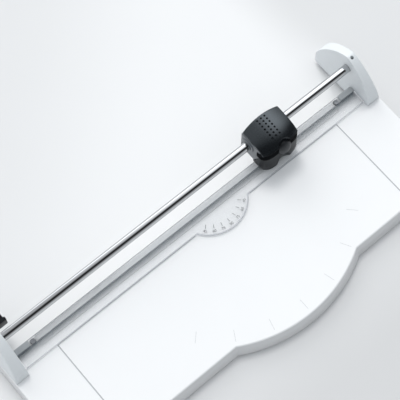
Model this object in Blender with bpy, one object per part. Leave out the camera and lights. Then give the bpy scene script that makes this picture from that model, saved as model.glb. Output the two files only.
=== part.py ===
"""Rotary paper trimmer: a white table with a round bay, two brackets, a steel rail, a clear
paper clamp with a protractor tongue, and a sliding head with a round blade.

Frame: metres, +Z up, X along the rail, +Y to the rear, origin at the bottom centre of the whole.
The sizes below are in millimetres; Y and Z of the head are measured from the cutting line and
the table top.
"""
import math

import bmesh
import bpy

MM = 0.001

# Driving dimensions, millimetres
TABLE_TOP = 18.0          # height of the table top above the ground
SKIRT_LOW = 3.0           # lower edge of the table's skirt
CUT_Y = 50.4              # cutting line, which is the table's rear edge
PROT_X = 25.8             # centre of the protractor, on the cutting line
TABLE_HALF = 218.0        # half length of the table top
SIDE_FLARE = 2.0          # how far the skirt leans out at the sides
FRONT_FLARE = 4.5         # and at the front
WING_DEPTH = 124.6        # cutting line to the straight front edge
BAY_R = 144.3             # round front edge, about the protractor's centre
CORNER_R = 6.0            # front corners of the table
PLATE = 4.0               # thickness of the table's top plate
RIB = 1.8                 # ribs under the table
CELL_X = 39.0             # spacing of the ribs along X

BRACKET_IN = 203.3        # inner face of a bracket
BRACKET_OUT = 217.8       # outer face at table level
BRACKET_LEAN = 5.0        # the outer face leans in by this much over 42 mm
BRACKET_MID = 10.0        # middle of the hump, behind the cutting line
BRACKET_HALF = 38.0       # half depth of the hump at table level
BRACKET_TALL = 46.5       # height of the hump above the table
BRACKET_POWER = 1.45      # superellipse exponent of the hump

RAIL_R = 4.25             # steel rail
RAIL_Y = 7.44             # rail axis behind the cutting line
RAIL_Z = 30.0             # rail axis above the table
RAIL_HALF = 211.0         # half length

EDGE_HALF = 178.0         # counter blade
STRIP_HALF = 202.8        # clear clamp
STRIP_LOW = 1.0           # underside of the clamp above the table, at rest
CLAMP_X = 182.3           # clamp screws
CLAMP_Y = -4.0
TONGUE_R = 37.45          # protractor tongue

HEAD_X = 101.0            # middle of the head, where the photograph shows it
AXLE_Z = 18.0             # blade axle above the table
BLADE_R = 19.5
HOUSE_HALF = 21.2         # blade housing: half width, front, and the power of its round corners
HOUSE_FRONT = 17.7
HOUSE_TOP = 37.0
HOUSE_POWER = 0.625
CAP_HALF = 21.0           # cap: half length, rear and front edges with their bows
CAP_REAR = 15.9
CAP_REAR_BOW = 2.1
CAP_FRONT = 13.5
CAP_FRONT_BOW = 3.5
CAP_END = 44.7            # height of its ends, rise of its middle, and roll of its front
CAP_RISE = 3.3
CAP_ROLL = 6.0
KNOB_R = 7.4              # round knob in a pocket of the housing and the cap
KNOB_AT = (4.2, -13.7, 30.4)
KNOB_LEAN = math.radians(25.0)
ROLLER_X = 11.0           # presser rollers, each side of the blade axle
ROLLER_R = 4.0
ROLLER_Z = 6.7
GAP = 0.3                 # between pieces that meet

SIDES = 32
NAMES = (("left", -1), ("right", 1))


def paint(name, rgb, rough, metal=0.0, alpha=1.0):
    mat = bpy.data.materials.new(name)
    mat.use_nodes = True
    shader = mat.node_tree.nodes["Principled BSDF"]
    shader.inputs["Base Color"].default_value = (*rgb, 1.0)
    shader.inputs["Roughness"].default_value = rough
    shader.inputs["Metallic"].default_value = metal
    shader.inputs["Alpha"].default_value = alpha
    return mat


def node(name, shape, mat, origin=(0.0, 0.0, 0.0)):
    """One object from points in millimetres; its origin is put at the given place."""
    points, faces = shape
    mesh = bpy.data.meshes.new(name)
    place = [((x - origin[0]) * MM, (y - origin[1]) * MM, (z - origin[2]) * MM) for x, y, z in points]
    mesh.from_pydata(place, [], faces)
    work = bmesh.new()
    work.from_mesh(mesh)
    bmesh.ops.recalc_face_normals(work, faces=work.faces)
    work.to_mesh(mesh)
    work.free()
    mesh.materials.append(mat)
    ob = bpy.data.objects.new(name, mesh)
    bpy.context.collection.objects.link(ob)
    ob.location = [v * MM for v in origin]
    return ob


def boolean(ob, shape, label, operation="DIFFERENCE"):
    """Cuts a shape out of an object, or joins one to it, as a live modifier."""
    tool = node(ob.name + "_" + label, shape, CUTTER)
    tool.hide_render = True
    tool.display_type = "WIRE"
    mod = ob.modifiers.new(label, "BOOLEAN")
    mod.object = tool
    mod.operation = operation
    mod.solver = "EXACT"


def together(*shapes):
    points, faces = [], []
    for some, loops in shapes:
        shift = len(points)
        points += some
        faces += [[i + shift for i in loop] for loop in loops]
    return points, faces


def loft(rings):
    """Closed body through rings of the same count, capped at both ends."""
    count = len(rings[0])
    points = [p for ring in rings for p in ring]
    faces = [list(range(count))[::-1]]
    for k in range(len(rings) - 1):
        for i in range(count):
            j = (i + 1) % count
            faces.append([k * count + i, k * count + j, (k + 1) * count + j, (k + 1) * count + i])
    faces.append([(len(rings) - 1) * count + i for i in range(count)])
    return points, faces


def prism(axis, outline, low, high):
    """A flat outline pushed along an axis: (y, z) for X, (x, z) for Y, (x, y) for Z."""
    place = {
        "X": lambda p, t: (t, p[0], p[1]),
        "Y": lambda p, t: (p[0], t, p[1]),
        "Z": lambda p, t: (p[0], p[1], t),
    }[axis]
    return loft([[place(p, t) for p in outline] for t in (low, high)])


def box(x0, x1, y0, y1, z0, z1):
    return prism("Z", [(x0, y0), (x1, y0), (x1, y1), (x0, y1)], z0, z1)


def turned(axis, centre, profile, sides=SIDES):
    """A closed (radius, distance) profile turned about an axis; radius 0 only at its ends."""
    cx, cy, cz = centre
    points, faces, rows = [], [], []
    for r, t in profile:
        row = []
        for k in range(1 if r == 0 else sides):
            a = 2 * math.pi * k / sides
            u, v = r * math.cos(a), r * math.sin(a)
            row.append(len(points))
            points.append({
                "X": (cx + t, cy + u, cz + v),
                "Y": (cx + u, cy + t, cz + v),
                "Z": (cx + u, cy + v, cz + t),
            }[axis])
        rows.append(row)
    closed = profile[0][0] != 0
    for k in range(len(rows) if closed else len(rows) - 1):
        one, two = rows[k], rows[(k + 1) % len(rows)]
        for i in range(sides):
            j = (i + 1) % sides
            if len(one) == 1:
                faces.append([one[0], two[i], two[j]])
            elif len(two) == 1:
                faces.append([one[i], one[j], two[0]])
            else:
                faces.append([one[i], one[j], two[j], two[i]])
    return points, faces


def rod(axis, centre, radius, low, high, sides=SIDES):
    return turned(axis, centre, [(0, low), (radius, low), (radius, high), (0, high)], sides)


def tube(axis, centre, outer, inner, low, high, sides=SIDES):
    return turned(axis, centre, [(outer, low), (outer, high), (inner, high), (inner, low)], sides)


def coil(axis, centre, mean, wire, low, high, curls, label):
    """One unbroken tube wound about an axis; prints the least gap between its own curls."""
    steps, ring = 10, 8
    count = int(curls * steps) + 1
    rise = (high - low - 2 * wire) / (count - 1)
    pitch = rise * steps / (2 * math.pi)
    slope = math.hypot(mean, pitch)
    rings, middle = [], []
    for k in range(count):
        a = 2 * math.pi * k / steps
        t = low + wire + rise * k
        out = (math.cos(a), math.sin(a), 0.0)
        up = (pitch / slope * math.sin(a), -pitch / slope * math.cos(a), mean / slope)
        spot = (mean * out[0], mean * out[1], t)
        middle.append(spot)
        row = []
        for m in range(ring):
            b = 2 * math.pi * m / ring
            x, y, z = [spot[i] + wire * (math.cos(b) * out[i] + math.sin(b) * up[i]) for i in range(3)]
            if axis == "Z":
                row.append((centre[0] + x, centre[1] + y, centre[2] + z))
            else:
                row.append((centre[0] + y, centre[1] + z, centre[2] + x))
        rings.append(row)
    gaps = [math.dist(p, q) for i, p in enumerate(middle) for q in middle[i + steps // 2 + 1:]]
    print("least gap of", label, "to itself: %.2f mm" % (min(gaps) - 2 * wire))
    return loft(rings)


def arc(cx, cy, radius, start, end, steps):
    turns = [math.radians(start + (end - start) * k / steps) for k in range(steps + 1)]
    return [(cx + radius * math.cos(a), cy + radius * math.sin(a)) for a in turns]


def table_ring(flare, z):
    """Outline of the table at one height: wings, sharp inner corners and the round bay."""
    half = TABLE_HALF + SIDE_FLARE * flare
    wing = CUT_Y - WING_DEPTH - FRONT_FLARE * flare
    radius = BAY_R + FRONT_FLARE * flare
    reach = math.degrees(math.acos((CUT_Y - wing) / radius))
    ring = [(half, CUT_Y), (-half, CUT_Y)]
    ring += arc(CORNER_R - half, wing + CORNER_R, CORNER_R, 180, 270, 5)
    ring += arc(PROT_X, CUT_Y, radius, 270 - reach, 270 + reach, 28)
    ring += arc(half - CORNER_R, wing + CORNER_R, CORNER_R, 270, 360, 5)
    return [(x, y, z) for x, y in ring]


def bay_front(x):
    """Front of the cells under the bay, kept inside its round wall."""
    away = x - PROT_X
    radius = BAY_R - 4.0
    return CUT_Y - math.sqrt(max(radius * radius - away * away, 0.0))


def cells():
    """The hollows under the table: rows behind the wings and short ones in the bay."""
    low, high = SKIRT_LOW - 1.0, TABLE_TOP - PLATE
    wing = CUT_Y - WING_DEPTH + 3.5
    rows = [(wing, wing + 37.7), (wing + 39.5, wing + 77.9), (wing + 79.7, CUT_Y - 3.0)]
    shapes = []
    for k in range(-5, 6):
        x0, x1 = CELL_X * k - (CELL_X - RIB) / 2, CELL_X * k + (CELL_X - RIB) / 2
        shapes += [box(x0, x1, y0, y1, low, high) for y0, y1 in rows]
        front = max(bay_front(x0), bay_front(x1))
        if wing - RIB - front > 6.0:
            shapes.append(box(x0, x1, front, wing - RIB, low, high))
    return together(*shapes)


def bracket_profile():
    """Side view of a bracket, (Y, Z): a hump over the table, and a leg down behind it."""
    hump = []
    for k in range(25):
        a = math.pi * k / 24
        c, s = math.cos(a), math.sin(a)
        dy = BRACKET_HALF * math.copysign(abs(c) ** (2 / BRACKET_POWER), c)
        dz = BRACKET_TALL * abs(s) ** (2 / BRACKET_POWER)
        hump.append((CUT_Y + BRACKET_MID + dy, TABLE_TOP + GAP + max(dz, 0.7 if k == 24 else 0.0)))
    rear = CUT_Y + BRACKET_MID + BRACKET_HALF
    toe = [(CUT_Y + BRACKET_MID - BRACKET_HALF, TABLE_TOP + GAP), (CUT_Y + GAP, TABLE_TOP + GAP)]
    leg = [(CUT_Y + GAP, SKIRT_LOW), (rear - 2.0, SKIRT_LOW), (rear, SKIRT_LOW + 2.0)]
    return hump + toe + leg


def bracket(side):
    rings = []
    for outer in (0, 1):
        ring = []
        for y, z in bracket_profile():
            lean = BRACKET_LEAN * max(z - TABLE_TOP, 0.0) / 42.0
            ring.append((side * (BRACKET_OUT - lean if outer else BRACKET_IN), y, z))
        rings.append(ring)
    return loft(rings)


def screw(axis, centre, head_r, head, shank_r, shank, turn=1):
    """A pan head and a shank along an axis, from the head's top at distance 0."""
    steps = [(0, 0), (head_r * 0.7, 0), (head_r, 0.45), (head_r, head), (shank_r, head)]
    steps += [(shank_r, shank), (0, shank)]
    return turned(axis, centre, [(r, t * turn) for r, t in steps], 12)


for old in list(bpy.data.objects):
    bpy.data.objects.remove(old, do_unlink=True)

CUTTER = paint("cutter", (0.5, 0.5, 0.5), 0.5)
WHITE = paint("white_plastic", (0.9, 0.9, 0.9), 0.4)
GREY = paint("grey_plastic", (0.47, 0.5, 0.52), 0.45)
BLACK = paint("black_plastic", (0.03, 0.032, 0.035), 0.35)
STEEL = paint("polished_steel", (0.75, 0.76, 0.78), 0.15, 1.0)
DARK = paint("dark_steel", (0.12, 0.12, 0.13), 0.35, 1.0)
CLEAR = paint("clear_plastic", (0.8, 0.85, 0.88), 0.1, 0.0, 0.35)
RUBBER = paint("rubber", (0.02, 0.02, 0.02), 0.8)
NYLON = paint("pale_nylon", (0.7, 0.69, 0.64), 0.5)

TOP = TABLE_TOP
LOW = SKIRT_LOW

# Table: a flared shell with ribs, bosses for feet and clamp screws, and a rebate for the edge
table = node("base_table", loft([
    table_ring(1.0, LOW),
    table_ring(0.05, TOP - 0.8),
    table_ring(-0.12, TOP),
]), WHITE)
boolean(table, cells(), "cells")
TABLE_FEET = (("foot_front_left", -196.0, -60.0), ("foot_front_right", 196.0, -60.0),
              ("foot_front_middle", PROT_X, -84.0))
bosses = [rod("Z", (x, y, 0), 7.6, LOW + 0.2, TOP - 2.0, 24) for name, x, y in TABLE_FEET]
bosses += [rod("Z", (s * CLAMP_X, CUT_Y + CLAMP_Y, 0), 3.9, 7.0, TOP - 2.0, 24) for n, s in NAMES]
boolean(table, together(*bosses), "bosses", "UNION")
EDGE_SCREWS = [CELL_X * k for k in (-4, 0, 4)]
boolean(table, together(*[rod("Z", (x, CUT_Y - 6.0, 0), 1.5, TOP - PLATE - 1.0, TOP - 1.0, 16)
                          for x in EDGE_SCREWS]), "edge_screw_holes")
BRACKET_SCREWS = [(s * 210.3, CUT_Y + y) for n, s in NAMES for y in (-8.0, -19.0)]
holes = [box(-EDGE_HALF - GAP, EDGE_HALF + GAP, CUT_Y - 12.0 - GAP, CUT_Y + 1.0, TOP - 2.3, TOP + 1.0)]
for x, y in BRACKET_SCREWS:
    holes.append(rod("Z", (x, y, 0), 1.8, TOP - PLATE - 1.0, TOP + 1.0, 16))
for name, x, y in TABLE_FEET:
    holes.append(rod("Z", (x, y, 0), 2.3, LOW - 1.0, LOW + 6.0, 16))
for name, s in NAMES:
    steps = [(0, 5.0), (1.6, 5.0), (1.6, 11.0), (3.0, 11.0), (3.0, TOP + 1.0), (0, TOP + 1.0)]
    holes.append(turned("Z", (s * CLAMP_X, CUT_Y + CLAMP_Y, 0), steps, 24))
boolean(table, together(*holes), "rebate_and_holes")

# Counter blade: flat steel, its rear edge on the cutting line and relieved below
profile = [(CUT_Y, TOP), (CUT_Y, TOP - 0.7), (CUT_Y - 0.5, TOP - 2.0), (CUT_Y - 12.0, TOP - 2.0),
           (CUT_Y - 12.0, TOP)]
edge = node("counter_blade", prism("X", profile, -EDGE_HALF, EDGE_HALF), STEEL)
boolean(edge, together(*[rod("Z", (x, CUT_Y - 6.0, 0), 1.5, TOP - 3.0, TOP - 0.7, 16)
                         for x in EDGE_SCREWS]), "screw_holes")
for name, x in zip(("left", "middle", "right"), EDGE_SCREWS):
    spot = (x, CUT_Y - 6.0, TOP - PLATE - GAP - 1.6)
    node(name + "_counter_blade_screw", screw("Z", spot, 2.6, 1.6, 1.2, 4.6), DARK)

# Rubber feet, each with a peg
for name, x, y in TABLE_FEET:
    steps = [(0, 0), (6.4, 0), (7.0, 0.6), (7.0, LOW - GAP), (2.0, LOW - GAP), (2.0, LOW + 5.5)]
    steps.append((0, LOW + 5.5))
    node(name, turned("Z", (x, y, 0), steps, 24), RUBBER)
REAR_FOOT_Y = CUT_Y + 39.5
for name, s in NAMES:
    steps = [(0, 0), (5.0, 0), (5.5, 0.6), (5.5, LOW - GAP), (2.0, LOW - GAP), (2.0, LOW + 3.5)]
    steps.append((0, LOW + 3.5))
    node("foot_rear_" + name, turned("Z", (s * 210.5, REAR_FOOT_Y, 0), steps, 24), RUBBER)

# Brackets: hump and leg, rail socket, set screw hole, hollows in the leg, screw and peg holes
RAIL = (0.0, CUT_Y + RAIL_Y, TOP + RAIL_Z)
for name, s in NAMES:
    ob = node(name + "_bracket", bracket(s), GREY)
    near, far = sorted((s * (BRACKET_IN - 1.0), s * (RAIL_HALF + GAP)))
    boolean(ob, rod("X", RAIL, RAIL_R + GAP, near, far), "rail_socket")
    holes = [rod("Z", (s * 207.3, RAIL[1], 0), 1.7, RAIL[2], 70.0, 16)]
    holes += [box(*sorted((s * 206.0, s * 215.2)), CUT_Y + y0, CUT_Y + y1, LOW - 1.0, 24.0)
              for y0, y1 in ((3.5, 15.0), (17.0, 31.0))]
    holes += [rod("Z", (x, y, 0), 1.5, TOP - 1.0, TOP + 8.0, 16) for x, y in BRACKET_SCREWS if x * s > 0]
    holes.append(rod("Z", (s * 210.5, REAR_FOOT_Y, 0), 2.3, LOW - 1.0, LOW + 4.0, 16))
    boolean(ob, together(*holes), "hollows")
for x, y in BRACKET_SCREWS:
    name = ("left" if x < 0 else "right") + "_bracket_screw_" + ("rear" if y > CUT_Y - 10.0 else "front")
    node(name, screw("Z", (x, y, TOP - PLATE - GAP - 1.8), 2.8, 1.8, 1.2, 13.0), DARK)
steps = [(0, -RAIL_HALF), (RAIL_R - 0.6, -RAIL_HALF), (RAIL_R, 0.6 - RAIL_HALF)]
steps += [(r, -t) for r, t in reversed(steps)]
node("rail_rod", turned("X", RAIL, steps), STEEL)
hex_key = [(1.35, RAIL_R + GAP), (1.35, 11.0), (0.8, 11.0), (0.8, 9.0), (0, 9.0)]
for name, s in NAMES:
    spot = (s * 207.3, RAIL[1], RAIL[2])
    node(name + "_set_screw", turned("Z", spot, [(0, RAIL_R + GAP)] + hex_key, 12), DARK)

# Black catch on the left bracket, behind the rail
outline = [(-BRACKET_IN + GAP, 72.0), (-189.4, 72.0), (-189.4, 75.4), (-190.9, 75.4), (-190.9, 82.5),
           (-192.4, 84.0), (-BRACKET_IN + GAP, 84.0)]
node("left_end_catch", prism("Z", outline, 26.0, 38.0), BLACK)

# Clamp: clear strip with a rear channel, a step, a slope and the round tongue
y0 = CUT_Y - 0.3
low = TOP + STRIP_LOW
profile = [(y0, low), (y0, low + 1.4), (CUT_Y - 7.0, low + 1.4), (CUT_Y - 7.0, low + 3.0),
           (CUT_Y - 20.6, low + 1.6), (CUT_Y - 21.0, low + 1.2), (CUT_Y - 21.0, low)]
strip = node("clamp_strip", prism("X", profile, -STRIP_HALF, STRIP_HALF), CLEAR)
reach = math.degrees(math.acos((21.0 - 1.0 + 3.0) / (TONGUE_R + 3.0)))
root_x = (TONGUE_R + 3.0) * math.sin(math.radians(reach))
front = CUT_Y - 20.0 - 3.0
outline = [(PROT_X + root_x, CUT_Y - 18.0), (PROT_X - root_x, CUT_Y - 18.0)]
outline += arc(PROT_X - root_x, front, 3.0, 90, 90 - reach, 5)
outline += arc(PROT_X, CUT_Y, TONGUE_R, 270 - reach, 270 + reach, 28)[1:-1]
outline += arc(PROT_X + root_x, front, 3.0, 90 + reach, 90, 5)
boolean(strip, prism("Z", outline, low + 0.05, low + 1.55), "tongue", "UNION")
steps = [(0, low - 1.0), (1.6, low - 1.0), (1.6, low + 0.4), (3.0, low + 1.8), (0, low + 1.8)]
spots = [(s * CLAMP_X, CUT_Y + CLAMP_Y, 0) for n, s in NAMES]
boolean(strip, together(*[turned("Z", spot, steps, 24) for spot in spots]), "holes")
for name, s in NAMES:
    x0, x1 = sorted((s * 186.2, s * (STRIP_HALF - 0.4)))
    z0 = low + 1.4 + GAP
    pad = [(x0 + 0.6, CUT_Y - 6.5), (x1 - 0.6, CUT_Y - 6.5), (x1, CUT_Y - 5.9), (x1, CUT_Y - 1.2),
           (x1 - 0.6, CUT_Y - 0.6), (x0 + 0.6, CUT_Y - 0.6), (x0, CUT_Y - 1.2), (x0, CUT_Y - 5.9)]
    node(name + "_clamp_pad", prism("Z", pad, z0, z0 + 1.4), GREY)
    at = (s * CLAMP_X, CUT_Y + CLAMP_Y, 0)
    steps = [(0, 7.5), (1.25, 7.5), (1.25, low + 0.25), (2.3, low + 1.3), (0.9, low + 1.3), (0.9, low + 0.7),
             (0, low + 0.7)]
    node(name + "_clamp_screw", turned("Z", at, steps, 16), DARK)
    spring = name + "_clamp_spring"
    node(spring, coil("Z", at, 2.2, 0.3, 11.3, low - GAP, 5, spring), DARK)

# Head: carriage on the rail with a slot for the blade, cap, round housing and hub cap
AXLE = (HEAD_X, CUT_Y, TOP + AXLE_Z)
HEAD = (HEAD_X, RAIL[1], RAIL[2])
half = 20.8
outline = [(-8.0, 26.4), (-1.9, 12.5), (3.0, 20.0), (6.0, 21.5), (15.5, 21.5), (17.5, 23.5), (17.5, 39.7),
           (-8.0, 39.7)]
outline = [(CUT_Y + y, TOP + z) for y, z in outline]
carriage = node("head_carriage", prism("X", outline, HEAD_X - half, HEAD_X + half), GREY, HEAD)
steps = [(0, -9.0), (7.0, -9.0), (7.0, -0.2), (BLADE_R + 0.45, -0.2), (BLADE_R + 0.45, 1.6), (5.6, 1.6),
         (5.6, 10.0), (0, 10.0)]
boolean(carriage, turned("Y", AXLE, steps, 48), "blade_slot")
steps = [(0, -half - 1), (6.3, -half - 1), (6.3, -half + 6.6), (5.1, -half + 6.6), (5.1, half - 6.6),
         (6.3, half - 6.6), (6.3, half + 1), (0, half + 1)]
boolean(carriage, turned("X", HEAD, steps), "rail_bore")
HOUSING_SCREWS = [(HEAD_X + s * 13.0, TOP + 22.0) for n, s in NAMES]
boolean(carriage, together(*[rod("Y", (x, 0, z), 1.5, CUT_Y - 9.0, CUT_Y - 2.0, 16)
                             for x, z in HOUSING_SCREWS]), "screw_holes")
for name, s in NAMES:
    x0, x1 = sorted((s * (half - 6.2), s * (half - 0.2)))
    node(name + "_bush", tube("X", HEAD, 6.0, RAIL_R + GAP, x0, x1), NYLON, HEAD)


def knob_frame(shape):
    """Turns a shape made about Y back by the knob's lean and sets it at the knob's place."""
    points, faces = shape
    c, d = math.cos(KNOB_LEAN), math.sin(KNOB_LEAN)
    at = (HEAD_X + KNOB_AT[0], CUT_Y + KNOB_AT[1], TOP + KNOB_AT[2])
    return [(at[0] + x, at[1] + y * c + z * d, at[2] + z * c - y * d) for x, y, z in points], faces


sections = []
for k in range(15):
    u = -1.0 + k / 7.0
    bow = 1.0 - u * u
    rear = CUT_Y + CAP_REAR + CAP_REAR_BOW * bow
    front = CUT_Y - CAP_FRONT - CAP_FRONT_BOW * bow
    top = TOP + CAP_END + CAP_RISE * bow
    section = [(rear, TOP + 40.0), (rear, top - 1.0)]
    for v in (0.03, 0.3, 0.5, 0.65, 0.78, 0.9, 1.0):
        section.append((rear + v * (front - rear), top - CAP_ROLL * v ** 3.5))
    under = TOP + HOUSE_TOP + 0.4
    section += [(front + 0.3, under), (CUT_Y - 9.0, under), (CUT_Y - 8.6, TOP + 40.0)]
    sections.append([(HEAD_X + CAP_HALF * u, y, z) for y, z in section])
cap = node("head_cap", loft(sections), BLACK, HEAD)
pocket = knob_frame(rod("Y", (0, 0, 0), KNOB_R + 0.4, -14.0, 0.0))
boolean(cap, pocket, "knob_room")


def plan(z, wall, rear):
    """Plan of the housing at a height: straight sides and a front of superelliptic corners."""
    half = HOUSE_HALF - 1.6 * max((12.0 - z) / 7.4, 0.0) ** 2 - wall
    depth = HOUSE_FRONT - 0.09 * max(z - 14.0, 0.0) - wall - 6.0
    ring = [(half, rear), (-half, rear)]
    for k in range(41):
        a = math.pi * (k / 40.0 - 0.5)
        x = math.copysign(abs(math.sin(a)) ** HOUSE_POWER, a) * half
        ring.append((x, -6.0 - depth * max(math.cos(a), 0.0) ** HOUSE_POWER))
    return [(HEAD_X + x, CUT_Y + y, TOP + z) for x, y in ring]


levels = [(4.6, 1.2), (5.0, 0.5), (5.8, 0.0), (12.0, 0.0), (20.0, 0.0), (28.0, 0.0), (36.2, 0.0)]
levels.append((HOUSE_TOP, 0.6))
housing = node("blade_housing", loft([plan(z, wall, -0.9) for z, wall in levels]), BLACK, HEAD)
boolean(housing, loft([plan(z, 2.2, 1.0) for z in (6.6, 12.0, 18.0, 24.0)]), "hollow")
boolean(housing, box(HEAD_X - 17.6, HEAD_X + 17.6, CUT_Y - 8.3, CUT_Y + 2.0, TOP, TOP + 12.0), "roller_room")
outline = [(2.0, 50.0), (-8.3, 50.0), (-8.3, 26.3), (-2.2, 12.1), (2.0, 12.1)]
room = prism("X", [(CUT_Y + y, TOP + z) for y, z in outline], HEAD_X - 30.0, HEAD_X + 30.0)
boolean(housing, room, "carriage_room")
pins = [(HEAD_X + s * ROLLER_X, TOP + ROLLER_Z) for n, s in NAMES]
fill = [(-16.4, -12.2), (-16.4, -15.1), (-14.0, -15.9), (14.0, -15.9), (16.4, -15.1), (16.4, -12.2)]
fill = prism("Z", [(HEAD_X + x, CUT_Y + y) for x, y in fill], TOP + 6.0, TOP + 24.6)
boolean(housing, fill, "front_wall", "UNION")
bosses = [rod("Y", AXLE, 5.0, -13.0, -9.5, 24)]
bosses += [rod("Y", (x, CUT_Y, z), 3.0, -13.0, -8.8, 24) for x, z in HOUSING_SCREWS]
boolean(housing, together(*bosses), "bosses", "UNION")
bosses = [rod("Y", (x, CUT_Y, z), 1.95, -13.4, -8.8, 24) for x, z in pins]
boolean(housing, together(*bosses), "pin_bosses", "UNION")
boolean(housing, pocket, "knob_pocket")
points, faces = rod("Z", (HEAD_X + 2.3, 0, 0), 12.0, TOP, TOP + 24.0, 48)
scoop = [(x, y + CUT_Y - 26.2 - 0.18 * (z - TOP - 4.6), z) for x, y, z in points]
boolean(housing, (scoop, faces), "scoop")
steps = [(0, -20.0), (2.7, -20.0), (2.7, -14.6), (1.5, -14.6), (1.5, -8.0), (0, -8.0)]
holes = [turned("Y", (x, CUT_Y, z), steps, 16) for x, z in HOUSING_SCREWS]
holes.append(rod("Y", AXLE, 2.3, -12.6, -8.0, 24))
holes += [rod("Y", (x, CUT_Y, z), 1.3, -12.9, -8.0, 16) for x, z in pins]
boolean(housing, together(*holes), "holes")
for (name, s), (x, z) in zip(NAMES, HOUSING_SCREWS):
    node(name + "_housing_screw", screw("Y", (x, CUT_Y - 16.2, z), 2.4, 1.3, 1.2, 13.4), DARK, HEAD)

# The round knob in its pocket
steps = [(0, -5.5), (3.0, -5.2), (5.4, -4.3), (6.9, -2.8), (KNOB_R, -1.2), (KNOB_R, -GAP), (0, -GAP)]
node("hub_cap", knob_frame(turned("Y", (0, 0, 0), steps)), BLACK, HEAD)

# Blade group: axle, nut and pressing spring stay with the head; the disc and its hub turn
steps = [(0, -12.3), (2.0, -12.3), (2.0, 9.2), (1.6, 9.6), (0, 9.6)]
node("blade_axle", turned("Y", AXLE, steps, 24), STEEL, HEAD)
node("blade_nut", tube("Y", AXLE, 4.3, 2.3, 7.2, 9.0, 6), DARK, HEAD)
node("blade_spring", coil("Y", AXLE, 3.3, 0.35, 1.5, 6.9, 4, "blade_spring"), DARK, HEAD)
steps = [(BLADE_R, 0.35), (BLADE_R - 2.0, 1.15), (2.3, 1.15), (2.3, 0.35)]
node("rotary_blade", turned("Y", AXLE, steps, 48), STEEL, AXLE)
steps = [(6.0, 0.05), (2.3, 0.05), (2.3, -8.6), (4.4, -8.6), (4.4, -4.0), (6.0, -4.0)]
node("blade_hub", turned("Y", AXLE, steps, 24), NYLON, AXLE)

# Presser rollers on their pins
for (name, s), (x, z) in zip(NAMES, pins):
    at = (x, CUT_Y, z)
    node(name + "_roller_pin", rod("Y", at, 1.0, -12.6, -0.9, 16), STEEL, HEAD)
    steps = [(ROLLER_R - 0.4, -5.9), (ROLLER_R, -5.5), (ROLLER_R, -1.7), (ROLLER_R - 0.4, -1.3)]
    steps += [(1.3, -1.3), (1.3, -5.9)]
    node(name + "_roller", turned("Y", at, steps, 24), RUBBER, at)
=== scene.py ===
import math
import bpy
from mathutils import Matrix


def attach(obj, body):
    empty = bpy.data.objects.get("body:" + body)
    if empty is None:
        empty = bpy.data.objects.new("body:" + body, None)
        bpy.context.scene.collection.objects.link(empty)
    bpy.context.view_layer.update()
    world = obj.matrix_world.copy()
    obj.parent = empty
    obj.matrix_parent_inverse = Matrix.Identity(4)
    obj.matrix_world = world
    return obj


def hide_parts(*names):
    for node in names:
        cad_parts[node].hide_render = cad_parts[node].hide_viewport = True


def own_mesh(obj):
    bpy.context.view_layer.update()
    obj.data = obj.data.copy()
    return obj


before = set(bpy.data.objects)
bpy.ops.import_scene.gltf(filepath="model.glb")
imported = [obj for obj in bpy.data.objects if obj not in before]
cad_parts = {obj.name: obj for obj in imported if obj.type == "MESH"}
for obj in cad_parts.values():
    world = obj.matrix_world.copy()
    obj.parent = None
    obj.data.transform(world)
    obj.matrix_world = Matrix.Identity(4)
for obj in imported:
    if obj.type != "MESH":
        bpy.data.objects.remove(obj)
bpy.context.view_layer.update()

import types

import bmesh
import bpy
import numpy as np
from mathutils import Vector

bl_info = {
    "name": "Rotary paper trimmer",
    "version": (1, 0, 0),
    "blender": (4, 5, 0),
    "location": "3D View > Sidebar > Trimmer",
    "description": "Dresses the packed solids of a rotary paper trimmer",
    "category": "Add Mesh",
}

MM = 0.001
GAP = 0.3                       # room between pieces that meet, millimetres
KNOB_LEAN = math.radians(25.0)
SIDES = (("left", -1.0), ("right", 1.0))


# Settings

def length(name, text, default):
    """A length property whose default is given in millimetres."""
    return bpy.props.FloatProperty(name=name, description=text, default=default * MM,
                                   precision=5, unit="LENGTH", subtype="DISTANCE")


def tint(name, text, default):
    """A colour property in linear red, green and blue."""
    return bpy.props.FloatVectorProperty(name=name, description=text, default=default, size=3,
                                         min=0.0, max=1.0, subtype="COLOR")


class TableSizes(bpy.types.PropertyGroup):
    """Table and printed guides."""
    top: length("Top", "Height of the table top above the ground", 18.0)
    low: length("Skirt", "Height of the skirt's lower edge", 3.0)
    cut: length("Cutting line", "Place of the table's rear edge", 50.4)
    half: length("Half length", "Half length of the table top", 218.0)
    side_flare: length("Side flare", "Lean of the skirt at the sides", 2.0)
    front_flare: length("Front flare", "Lean of the skirt at the front", 4.5)
    wing: length("Wing depth", "Cutting line to the straight front edge", 124.6)
    bay: length("Bay radius", "Round front edge about the protractor's centre", 144.3)
    corner: length("Corner", "Radius of the front corners", 6.0)
    rim: length("Rim", "Rounding of the upper edge", 1.1)
    plate: length("Plate", "Thickness of the top plate", 4.0)
    rib: length("Rib", "Thickness of the ribs below", 1.8)
    cell: length("Cell", "Spacing of the ribs", 39.0)
    frame_x: length("Guide", "Half length of the printed guide frame", 167.45)
    frame_y: length("Guide rear", "Printed guide line before the cutting line", 20.7)


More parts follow.
